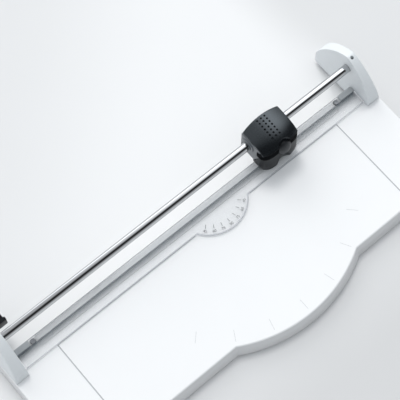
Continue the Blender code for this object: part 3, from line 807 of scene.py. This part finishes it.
def screw_body(name, axis, centre, head_r, head, shank):
    """A pan head with a cross recess and a shank with a chamfered end."""
    shank_r, chamfer = 1.2, 0.4
    stem = [(head_r, head), (shank_r, head), (shank_r, shank - chamfer), (shank_r - chamfer, shank),
            (0, shank)]
    profile = np.concatenate([[(0, 0)], round_edge(head_r, 0.5, 5), stem])
    ob = solid(name, lathe(axis, centre, profile, 40))
    reach, wide, deep = head_r * 0.62, head_r * 0.13, min(head * 0.55, 0.9)
    loop = [(reach, -wide), (reach, wide), (wide, wide)]
    for k in range(9):
        x, y = loop[-3]
        loop.append((-y, x))
    points, faces = slab(axis, np.array(loop), -0.5, deep)
    return shaped(ob, (points + np.asarray(centre, float), faces))


def strip_height(y, clamp):
    """Height of the clamp's upper face above the table at a distance before the cutting line."""
    step, front, thin, tall, tongue = 7.0, 20.9, 1.4, 3.0, 1.55
    fall, run = 1.4, 13.6
    slope = clamp.rise + tall - fall * (y - step) / run
    return np.where(y < step, clamp.rise + thin, np.where(y < front, slope, clamp.rise + tongue))


def ribbon(start, end, wide, height, steps):
    """A thin printed strip between two points, laid on a height that is a function of (x, y)."""
    start, end = np.asarray(start, float), np.asarray(end, float)
    way = (end - start) / np.linalg.norm(end - start)
    side = np.array([-way[1], way[0]]) * wide / 2
    middle = start + np.linspace(0.0, 1.0, steps)[:, None] * (end - start)
    left, right = middle + side, middle - side
    rings = [np.column_stack([p, height(p[:, 0], p[:, 1]) + lift]) for p, lift in
             ((left, 0.0), (right, 0.0), (right, 0.03), (left, 0.03))]
    return skin(np.stack(rings, 1))


def figures(text, size):
    """Flat figures as a thin closed mesh about their own middle, in millimetres."""
    curve = bpy.data.curves.new("figure", "FONT")
    curve.body = text
    curve.size = size
    curve.extrude = 0.012
    curve.resolution_u = 6
    curve.align_x = "CENTER"
    curve.align_y = "CENTER"
    ob = bpy.data.objects.new("figure", curve)
    bpy.context.scene.collection.objects.link(ob)
    graph = bpy.context.evaluated_depsgraph_get()
    mesh = bpy.data.meshes.new_from_object(ob.evaluated_get(graph))
    points = np.empty(len(mesh.vertices) * 3)
    mesh.vertices.foreach_get("co", points)
    faces = [list(p.vertices) for p in mesh.polygons]
    bpy.data.objects.remove(ob)
    bpy.data.curves.remove(curve)
    bpy.data.meshes.remove(mesh)
    return points.reshape(-1, 3), faces


# Operators

class Maker:
    """What the operators share: their options and the sizes in millimetres."""
    bl_options = {"REGISTER", "UNDO"}

    def sizes(self, context, *groups):
        """The groups asked for, in millimetres; the first call makes the finishes."""
        settings = context.scene.trimmer
        if not FINISHES:
            make_finishes(settings)
        return [in_mm(getattr(settings, group)) for group in groups]


class TRIMMER_OT_table(Maker, bpy.types.Operator):
    """White table shell with its ribs, bosses and rebate"""
    bl_idname = "trimmer.table"
    bl_label = "Table"

    def execute(self, context):
        t, c = self.sizes(context, "table", "clamp")
        feet = [(x, y, 0.0) for name, x, y, radius, peg in foot_spots(t, c)[:3]]
        under, over = t.top - t.plate - 1.0, t.top + 1.0
        rebate_half, rebate_deep, rebate_low = 178.0 + GAP, 12.0 + GAP, 2.3
        ob = solid("table_shell", table_body(t, c))
        shaped(ob, table_cells(t, c))
        posts = [bar("Z", spot, 7.6, t.low + 0.2, t.top - 2.0) for spot in feet]
        posts += [bar("Z", spot, 3.9, 7.0, t.top - 2.0) for spot in clamp_spots(t, c)]
        shaped(ob, *posts, operation="UNION")
        shaped(ob, *[bar("Z", spot, 1.5, under, t.top - 1.0, 24) for spot in counter_spots(t)])
        rebate = (-rebate_half, rebate_half, t.cut - rebate_deep, t.cut + 1.0, t.top - rebate_low, over)
        holes = [block(*rebate)]
        holes += [bar("Z", spot, 1.8, under, over, 24) for name, s in SIDES for spot in bracket_spots(t, s)]
        holes += [bar("Z", spot, 2.3, t.low - 1.0, t.low + 6.0, 24) for spot in feet]
        pocket = [(0, 5.0), (1.6, 5.0), (1.6, 11.0), (3.0, 11.0), (3.0, over), (0, over)]
        holes += [lathe("Z", spot, pocket, 32) for spot in clamp_spots(t, c)]
        shaped(ob, *holes)
        done(ob, "table", "base", ["base_table"])
        return {"FINISHED"}


class TRIMMER_OT_brackets(Maker, bpy.types.Operator):
    """Pale grey brackets at both ends, and the black catch on the left one"""
    bl_idname = "trimmer.brackets"
    bl_label = "Brackets"

    def execute(self, context):
        t, b = self.sizes(context, "table", "bracket")
        rail = rail_axis(t, b)
        foot_x, foot_y = REAR_FOOT
        set_screw_x, cell_inner, cell_outer = 207.3, 206.0, 215.2
        for name, s in SIDES:
            ob = bracket_body(name + "_bracket_shell", s, b, t)
            near, far = sorted((s * (b.inner - 1.0), s * (b.rail_half + GAP)))
            shaped(ob, bar("X", rail, b.rail_r + GAP, near, far))
            x0, x1 = sorted((s * cell_inner, s * cell_outer))
            holes = [bar("Z", (s * set_screw_x, rail[1], 0), 1.7, rail[2], 70.0, 24)]
            holes += [block(x0, x1, t.cut + y0, t.cut + y1, t.low - 1.0, 24.0, 1.2)
                      for y0, y1 in ((3.5, 15.0), (17.0, 31.0))]
            holes += [bar("Z", spot, 1.5, t.top - 1.0, t.top + 8.0, 24) for spot in bracket_spots(t, s)]
            holes.append(bar("Z", (s * foot_x, t.cut + foot_y, 0), 2.3, t.low - 1.0, t.low + 4.0, 24))
            shaped(ob, *holes)
            done(ob, "bracket", "base", [name + "_bracket"])
        wall, tip, step, front, rear = -b.inner + GAP, -189.4, -190.9, 72.0, 84.0
        corners = [(wall, front), (tip, front), (tip, 75.4), (step, 75.4), (step, 82.5), (-192.4, rear),
                   (wall, rear)]
        loop = rounded(corners, [0.7, 0.9, 0.7, 0.7, 0.9, 0.9, 0.7])
        ob = solid("end_catch", slab("Z", loop, 26.0, 38.0, 0.4, 0.4))
        done(ob, "matt", "base", ["left_end_catch"])
        return {"FINISHED"}


class TRIMMER_OT_rail(Maker, bpy.types.Operator):
    """Polished round rail between the brackets"""
    bl_idname = "trimmer.rail"
    bl_label = "Rail"

    def execute(self, context):
        t, b = self.sizes(context, "table", "bracket")
        end = round_edge(b.rail_r, 0.6, 6) - (0.0, b.rail_half)
        middle = [(b.rail_r, x) for x in np.linspace(-b.rail_half, b.rail_half, 23)[1:-1]]
        profile = [[(0, -b.rail_half)], end, middle, end[::-1] * (1.0, -1.0), [(0, b.rail_half)]]
        ob = solid("rail", lathe("X", rail_axis(t, b), np.concatenate(profile), 128))
        done(ob, "chrome", "base", ["rail_rod"])
        return {"FINISHED"}


class TRIMMER_OT_clamp(Maker, bpy.types.Operator):
    """Clear clamp strip with its tongue, and grey end pads"""
    bl_idname = "trimmer.clamp"
    bl_label = "Clamp"

    def execute(self, context):
        t, c = self.sizes(context, "table", "clamp")
        low = t.top + c.rise
        thin, rear, step, front = low + 1.4, t.cut - 0.3, t.cut - 7.0, t.cut - 21.0
        corners = [(rear, low), (rear, thin), (step, thin), (step, low + 3.0), (front, low + 1.56),
                   (front, low)]
        loop = rounded(corners, [0.4, 0.45, 0.3, 0.6, 0.7, 0.4])
        ob = solid("clear_strip", slab("X", loop, -c.half, c.half, 0.2, 0.2))
        x, fillet, drop = c.centre_x, 3.0, 23.0
        reach = math.degrees(math.acos(drop / (c.tongue + fillet)))
        root = (c.tongue + fillet) * math.sin(math.radians(reach))
        loop = np.concatenate([
            [(x + root, t.cut - 18.0), (x - root, t.cut - 18.0)],
            arc(x - root, t.cut - drop, fillet, 90, 90 - reach, 12),
            arc(x, t.cut, c.tongue, 270 - reach, 270 + reach, 110)[1:-1],
            arc(x + root, t.cut - drop, fillet, 90 + reach, 90, 12)])
        shaped(ob, slab("Z", loop, low + 0.05, low + 1.55, 0.15, 0.45), operation="UNION")
        sink = [(0, low - 1.0), (1.6, low - 1.0), (1.6, low + 0.4), (3.0, low + 1.8), (0, low + 1.8)]
        shaped(ob, *[lathe("Z", spot, sink, 40) for spot in clamp_spots(t, c)])
        done(ob, "clear", "clamp", ["clamp_strip"])
        y0, y1, z0 = t.cut - 6.5, t.cut - 0.6, low + 1.4 + GAP
        for name, s in SIDES:
            x0, x1 = sorted((s * 186.2, s * (c.half - 0.4)))
            loop = rounded([(x0, y0), (x1, y0), (x1, y1), (x0, y1)], 0.9)
            ob = solid(name + "_pad", slab("Z", loop, z0, z0 + 1.4, 0.0, 0.4))
            done(ob, "pad", "clamp", [name + "_clamp_pad"])
        return {"FINISHED"}


class TRIMMER_OT_head(Maker, bpy.types.Operator):
    """Carriage, rail bushes, cap with grip holes, blade housing with a black band of painted shade below
    the cap, and knob
    """
    bl_idname = "trimmer.head"
    bl_label = "Head"

    def carriage(self, t, b, h):
        half = 20.8
        corners = [(-8.0, 26.4), (-1.7, 11.9), (17.5, 11.9), (17.5, 39.7), (-8.0, 39.7)]
        loop = rounded(np.array(corners) + (t.cut, t.top), 1.2)
        ob = solid("carriage", slab("X", loop, h.x - half, h.x + half, 0.7, 0.7))
        hub, room, nut = 7.0, h.blade + 0.45, 5.6
        slot = [(0, -9.0), (hub, -9.0), (hub, -0.2), (room, -0.2), (room, 1.6), (nut, 1.6), (nut, 10.0),
                (0, 10.0)]
        shaped(ob, lathe("Y", blade_axle(t, h), slot, 96))
        rail = rail_axis(t, b, h.x)
        end, lip, seat, bore = half + 1.0, half - 6.6, 6.3, 5.1
        side = [(0, -end), (seat, -end), (seat, -lip), (bore, -lip)]
        shaped(ob, lathe("X", rail, side + [(r, -x) for r, x in side[::-1]], 64))
        shaped(ob, *[bar("Y", spot, 1.5, -9.0, -2.0, 24) for spot in head_spots(t, h, HOUSING_SCREW)])
        done(ob, "carriage", "head", ["head_carriage"])
        hole = b.rail_r + GAP
        for name, s in SIDES:
            inner, seat, lip, outer = [s * (half + step) for step in (-6.2, 0.1, 0.6, 0.9)]
            profile = [(hole, inner), (6.0, inner), (6.0, seat), (7.4, seat), (7.4, lip), (7.1, outer),
                       (hole + 0.3, outer), (hole, lip)]
            ob = solid(name + "_rail_bush", lathe("X", rail, profile, 64, True))
            done(ob, "carriage", "head", [name + "_bush"])

    def cap(self, t, h):
        ob = solid("cap", skin(cap_sections(h, t)))
        shaped(ob, knob_pocket(h, t))
        notch = (h.x + h.knob_x - 0.3, t.cut + h.knob_y - 6.1, t.top)
        shaped(ob, bar("Z", notch, 8.2, 30.0, 60.0, 96))
        hole = [(0, -1.9), (h.dot * 0.6, -1.8), (h.dot, -1.4), (h.dot, 0.5), (0, 0.5)]
        spots = [(h.x + x, t.cut + 14.6 - 3.52 * k) for x in (-4.4, 0.0, 4.3) for k in range(7)]
        shaped(ob, *[lathe("Z", (x, y, cap_top(h, t, x, y)), hole, 24) for x, y in spots])
        done(ob, "black", "head", ["head_cap"], 40.0)

    def housing(self, t, h):
        axle, pins, screws = blade_axle(t, h), head_spots(t, h, ROLLER_PIN), head_spots(t, h, HOUSING_SCREW)
        turn, straight = quarter(7), np.linspace(8.0, 34.0, 14)
        below, above = 1.3, 0.7
        levels = [4.6 + below * (1 - np.cos(turn)), straight, h.house_top - above + above * np.sin(turn)]
        wall = [below * (1 - np.sin(turn)), 0.0 * straight, above * (1 - np.cos(turn))]
        ob = solid("housing", skin(house_plan(h, t, np.concatenate(levels), np.concatenate(wall), -0.9)))
        shaped(ob, skin(house_plan(h, t, [6.6, 12.0, 18.0, 24.0], 2.2, 1.0)))
        shaped(ob, block(h.x - 17.6, h.x + 17.6, t.cut - 8.3, t.cut + 2.0, t.top, t.top + 12.0))
        room = [(2.0, 50.0), (-8.3, 50.0), (-8.3, 26.3), (-2.2, 12.1), (2.0, 12.1)]
        shaped(ob, slab("X", np.array(room) + (t.cut, t.top), h.x - 30.0, h.x + 30.0))
        fill = [(-16.4, -12.2), (-16.4, -15.1), (-14.0, -15.9)]
        fill = np.array(fill + [(-x, y) for x, y in fill[::-1]]) + (h.x, t.cut)
        shaped(ob, slab("Z", fill, t.top + 6.0, t.top + 24.6), operation="UNION")
        posts = [bar("Y", axle, 5.0, -13.0, -9.5)] + [bar("Y", spot, 3.0, -13.0, -8.8) for spot in screws]
        shaped(ob, *posts, operation="UNION")
        shaped(ob, *[bar("Y", pin, 1.95, -13.4, -8.8) for pin in pins], operation="UNION")
        shaped(ob, knob_pocket(h, t))
        points, faces = bar("Z", (h.x + 2.3, 0, 0), 12.0, t.top, t.top + 24.0, 128)
        points[:, 1] += t.cut - 26.2 - 0.18 * (points[:, 2] - t.top - 4.6)
        shaped(ob, (points, faces))
        sink = [(0, -14.7), (2.7, -14.7), (2.7, -13.4), (1.5, -13.4), (1.5, -8.0), (0, -8.0)]
        holes = [lathe("Y", spot, sink, 40) for spot in screws]
        holes.append(bar("Y", axle, 2.3, -12.6, -8.0))
        holes += [bar("Y", pin, 1.3, -12.9, -8.0, 24) for pin in pins]
        shaped(ob, *holes)
        done(ob, "matt", "head", ["blade_housing"], 38.0)

    # A thin dull black band round the housing's upper part, below the cap: painted shade where the cap's
    # shadow falls.
    def seal(self, t, h):
        ob = solid("housing_seal", skin(house_plan(h, t, np.linspace(28.6, 36.2, 6), -0.15, -5.0)))
        shaped(ob, skin(house_plan(h, t, [20.0, 30.0, 40.0], 0.3, -2.0)))
        shaped(ob, knob_pocket(h, t))
        done(ob, "seal", "head", (), 38.0)

    def knob(self, t, h):
        bend, brim, crown = quarter(18), -1.2, 4.3
        dome = np.stack([h.knob_r * np.sin(bend), brim - crown * np.cos(bend)], 1)
        profile = np.concatenate([dome, [(h.knob_r, -0.6), (h.knob_r - 0.3, -GAP), (0, -GAP)]])
        ob = solid("knob", on_knob(lathe("Y", (0, 0, 0), profile, 96), h, t))
        done(ob, "knob", "head", ["hub_cap"])

    def execute(self, context):
        t, b, h = self.sizes(context, "table", "bracket", "head")
        self.carriage(t, b, h)
        self.cap(t, h)
        self.housing(t, h)
        self.seal(t, h)
        self.knob(t, h)
        return {"FINISHED"}


class TRIMMER_OT_blade(Maker, bpy.types.Operator):
    """Round blade on its hub, and the two presser rollers"""
    bl_idname = "trimmer.blade"
    bl_label = "Blade"

    def execute(self, context):
        t, h = self.sizes(context, "table", "head")
        axle, r, bore = blade_axle(t, h), h.blade, 2.3
        profile = [(r, 0.35), (r - 0.15, 0.42), (r - 2.0, 1.15), (bore, 1.15), (bore, 0.35),
                   (r - 4.0, 0.35)]
        ob = solid("blade_disc", lathe("Y", axle, profile, 180, True), 0.0005)
        done(ob, "edge", "blade", ["rotary_blade"], 12.0)
        profile = [(6.0, 0.05), (bore, 0.05), (bore, -8.6), (4.1, -8.6), (4.4, -8.3), (4.4, -4.0),
                   (5.7, -4.0), (6.0, -3.7)]
        ob = solid("hub", lathe("Y", axle, profile, 64, True))
        done(ob, "nylon", "blade", ["blade_hub"])
        profile = [(3.5, -5.9), (3.85, -5.75), (4.0, -5.4), (4.0, -4.2), (3.75, -4.0), (3.75, -3.2),
                   (4.0, -3.0), (4.0, -1.8), (3.85, -1.45), (3.5, -1.3), (1.3, -1.3), (1.3, -5.9)]
        for (name, s), pin in zip(SIDES, head_spots(t, h, ROLLER_PIN)):
            ob = solid(name + "_presser_roller", lathe("Y", pin, profile, 64, True))
            done(ob, "rubber", name + "_roller_body", [name + "_roller"])
        return {"FINISHED"}


class TRIMMER_OT_springs(Maker, bpy.types.Operator):
    """Wound springs below the clamp and on the blade axle"""
    bl_idname = "trimmer.springs"
    bl_label = "Springs"

    def execute(self, context):
        t, c, h = self.sizes(context, "table", "clamp", "head")
        low, high = 11.3, t.top + c.rise - GAP
        for (name, s), spot in zip(SIDES, clamp_spots(t, c)):
            ob = solid(name + "_coil", helix("Z", spot, 2.2, 0.3, low, high, 5))
            done(ob, "screw", "base", [name + "_clamp_spring"], 60.0)
            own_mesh(ob)
        ob = solid("axle_coil", helix("Y", blade_axle(t, h), 3.3, 0.35, 1.5, 6.9, 4))
        done(ob, "screw", "head", ["blade_spring"], 60.0)
        return {"FINISHED"}


class TRIMMER_OT_feet(Maker, bpy.types.Operator):
    """Rubber feet with pegs and a ring groove"""
    bl_idname = "trimmer.feet"
    bl_label = "Feet"

    def execute(self, context):
        t, c = self.sizes(context, "table", "clamp")
        top = t.low - GAP
        for name, x, y, r, peg in foot_spots(t, c):
            end = t.low + peg
            ring = [(0, 0.35), (r * 0.45, 0.35), (r * 0.55, 0.0)]
            stem = [(r, top - 0.2), (r - 0.2, top), (2.0, top), (2.0, end - 0.3), (1.7, end), (0, end)]
            profile = np.concatenate([ring, round_edge(r, 0.7, 6), stem])
            ob = solid(name.replace("foot", "pad_foot"), lathe("Z", (x, y, 0), profile, 64))
            done(ob, "rubber", "base", [name])
        return {"FINISHED"}


class TRIMMER_OT_prints(Maker, bpy.types.Operator):
    """Printed guide lines on the table and the protractor's figures on the tongue"""
    bl_idname = "trimmer.prints"
    bl_label = "Prints"

    def execute(self, context):
        t, c = self.sizes(context, "table", "clamp")

        def flat(x, y):
            return np.full_like(x, t.top + 0.005)

        def on_clamp(x, y):
            return t.top + strip_height(t.cut - y, c) + 0.012

        y, front, wide = t.cut - t.frame_y, t.cut - t.wing + t.rim, 1.2
        spot, angles = np.array([c.centre_x, t.cut]), range(45, 136, 15)
        ways = [np.array([math.cos(a), -math.sin(a)]) for a in np.radians(angles)]
        lines = []
        for name, s in SIDES:
            lines.append(ribbon((c.centre_x + s * 33.0, y), (s * (t.frame_x + 0.6), y), wide, flat, 2))
            lines.append(ribbon((s * t.frame_x, y - 0.61), (s * t.frame_x, front), wide, flat, 2))
        lines += [ribbon(spot + 128.5 * way, spot + 139.5 * way, 0.25, flat, 2) for way in ways]
        ob = solid("guide_lines", together(*lines), 0.0001)
        done(ob, "guide", "base")
        marks = []
        for angle, way in zip(angles, ways):
            marks.append(ribbon(spot + 27.2 * way, spot + 30.8 * way, 0.42, on_clamp, 12))
            points, faces = figures(str(90 - abs(90 - angle)), c.figure)
            ahead = np.array([-way[1], way[0]])
            place = spot + 33.6 * way + points[:, :1] * ahead - points[:, 1:2] * way
            height = t.top + c.rise + 1.55 + 0.015 + points[:, 2:3]
            marks.append((np.column_stack([place, height]), faces))
        ob = solid("protractor_marks", together(*marks), 0.0001)
        done(ob, "figure", "clamp")
        return {"FINISHED"}


class TRIMMER_OT_fasteners(Maker, bpy.types.Operator):
    """Screws with cross recesses, and finishes of the metal solids that stay"""
    bl_idname = "trimmer.fasteners"
    bl_label = "Fasteners"

    def execute(self, context):
        t, h = self.sizes(context, "table", "head")
        under = t.top - t.plate - GAP
        rows = [(name + "_counter_blade_screw", "Z", (x, y, under - 1.6), 2.6, 1.6, 4.6)
                for (name, cell), (x, y, z) in zip(COUNTER_SCREWS, counter_spots(t))]
        rows += [(name + "_bracket_screw_" + end, "Z", (x, y, under - 1.8), 2.8, 1.8, 13.0)
                 for name, s in SIDES
                 for (end, back), (x, y, z) in zip(BRACKET_SCREWS, bracket_spots(t, s))]
        rows += [(name + "_housing_screw", "Y", (x, y - 14.6, z), 2.4, 1.2, 11.8)
                 for (name, s), (x, y, z) in zip(SIDES, head_spots(t, h, HOUSING_SCREW))]
        for node, *sizes in rows:
            ob = screw_body(node.replace("screw", "cross_screw"), *sizes)
            body, look = ("head", "matt") if "housing" in node else ("base", "screw")
            done(ob, look, body, [node])
        for node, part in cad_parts.items():
            if part.hide_render:
                continue
            kind = "edge" if node == "blade_axle" or "pin" in node else "screw"
            if node == "counter_blade":
                kind = "plate"
            elif node.endswith("clamp_screw"):
                kind = "bolt"
            part.data.materials.clear()
            part.data.materials.append(FINISHES[kind])
        return {"FINISHED"}


class TRIMMER_OT_stage(Maker, bpy.types.Operator):
    """Pale floor, soft light and the camera"""
    bl_idname = "trimmer.stage"
    bl_label = "Stage"

    def world(self, scene):
        """Dull faces get a pale light that weakens towards the front; mirrors see a bright panel over the
        right, a dark band in the upper front sky and a grey front below it; the camera sees white."""
        world = bpy.data.worlds.new("studio")
        scene.world = world
        world.use_nodes = True
        n = Nodes(world.node_tree)
        n.tree.nodes.clear()
        x, y, z = n.axes("Generated")
        back = n.add("Math", {0: y, 1: z}, operation="ARCTAN2")
        right = n.add("Math", {0: x, 1: z}, operation="ARCTAN2")
        panel = n.step(right, 0.1, 0.5) * (1.0 - n.step(right, 0.55, 0.95))
        over = (0.6 + 2.0 * panel) * n.step(back, -0.42, 0.25)
        front = 0.55 * n.step(back * -1.0, 0.82, 1.4)
        level = over + front + 0.02
        mirror = n.add("CombineColor", {0: level * 0.985, 1: level, 2: level * 1.03})
        camera = n.add("LightPath", output="Is Camera Ray")
        glossy = n.add("LightPath", output="Is Glossy Ray")
        round_about = 0.79 - 0.5 * n.step(back * -1.0, 0.45, 1.4)
        dull = n.add("CombineColor", {0: round_about * 0.955, 1: round_about, 2: round_about * 1.045})
        soft = n.mix(glossy, dull, mirror)
        seen = n.mix(camera, soft, (1.0, 1.0, 1.0))
        light = n.add("Background", {"Color": seen, "Strength": 1.0})
        out = n.tree.nodes.new("ShaderNodeOutputWorld")
        n.tree.links.new(light.socket, out.inputs["Surface"])

    def execute(self, context):
        scene = context.scene
        scene.view_settings.view_transform = "Standard"
        self.world(scene)
        size, rows = 3.0, 13
        x, y = np.meshgrid(np.linspace(-size, size, rows), np.linspace(-size, size, rows))
        mesh = bpy.data.meshes.new("floor")
        points = np.stack([x, y, 0 * x], -1).reshape(-1, 3)
        mesh.from_pydata(points.tolist(), [], quads(rows, rows, False))
        floor = bpy.data.objects.new("floor", mesh)
        scene.collection.objects.link(floor)
        mesh.materials.append(ground_sheet("floor_pale", scene.trimmer.colours.floor))
        for name, energy, angle, way in (("key", 0.9, 0.3, (-0.16, -0.46, -1.0)),
                                         ("fill", 0.72, 0.7, (-0.1, -1.5, -1.0))):
            light = bpy.data.lights.new(name, "SUN")
            light.energy = energy
            light.color = (1.0, 0.985, 0.965)
            light.angle = angle
            lamp = bpy.data.objects.new(name, light)
            lamp.visible_glossy = False
            lamp.rotation_euler = Vector(way).to_track_quat("-Z", "Y").to_euler()
            scene.collection.objects.link(lamp)
        view = bpy.data.cameras.new("camera")
        view.lens = 126.0
        view.sensor_width = 36.0
        camera = bpy.data.objects.new("camera", view)
        camera.location = (-0.2866, -0.3083, 1.2277)
        aim = Vector((0.0191, 0.05404, 0.018)) - camera.location
        camera.rotation_euler = aim.to_track_quat("-Z", "Y").to_euler()
        scene.collection.objects.link(camera)
        scene.camera = camera
        return {"FINISHED"}


OPERATORS = (TRIMMER_OT_table, TRIMMER_OT_brackets, TRIMMER_OT_rail, TRIMMER_OT_clamp, TRIMMER_OT_head,
             TRIMMER_OT_blade, TRIMMER_OT_springs, TRIMMER_OT_feet, TRIMMER_OT_prints, TRIMMER_OT_fasteners,
             TRIMMER_OT_stage)


class TRIMMER_PT_panel(bpy.types.Panel):
    """Lists the steps that build the trimmer"""
    bl_idname = "TRIMMER_PT_panel"
    bl_label = "Rotary trimmer"
    bl_space_type = "VIEW_3D"
    bl_region_type = "UI"
    bl_category = "Trimmer"

    def draw(self, context):
        for step in OPERATORS:
            self.layout.operator(step.bl_idname)


CLASSES = (TableSizes, BracketSizes, ClampSizes, HeadSizes, Colours, TrimmerSettings, *OPERATORS,
           TRIMMER_PT_panel)


def register():
    for item in CLASSES:
        bpy.utils.register_class(item)
    bpy.types.Scene.trimmer = group(TrimmerSettings, "Trimmer", "Settings of the trimmer")


def unregister():
    del bpy.types.Scene.trimmer
    for item in reversed(CLASSES):
        bpy.utils.unregister_class(item)


def main():
    register()
    for step in OPERATORS:
        group, name = step.bl_idname.split(".")
        getattr(getattr(bpy.ops, group), name)()


if __name__ == "__main__":
    main()
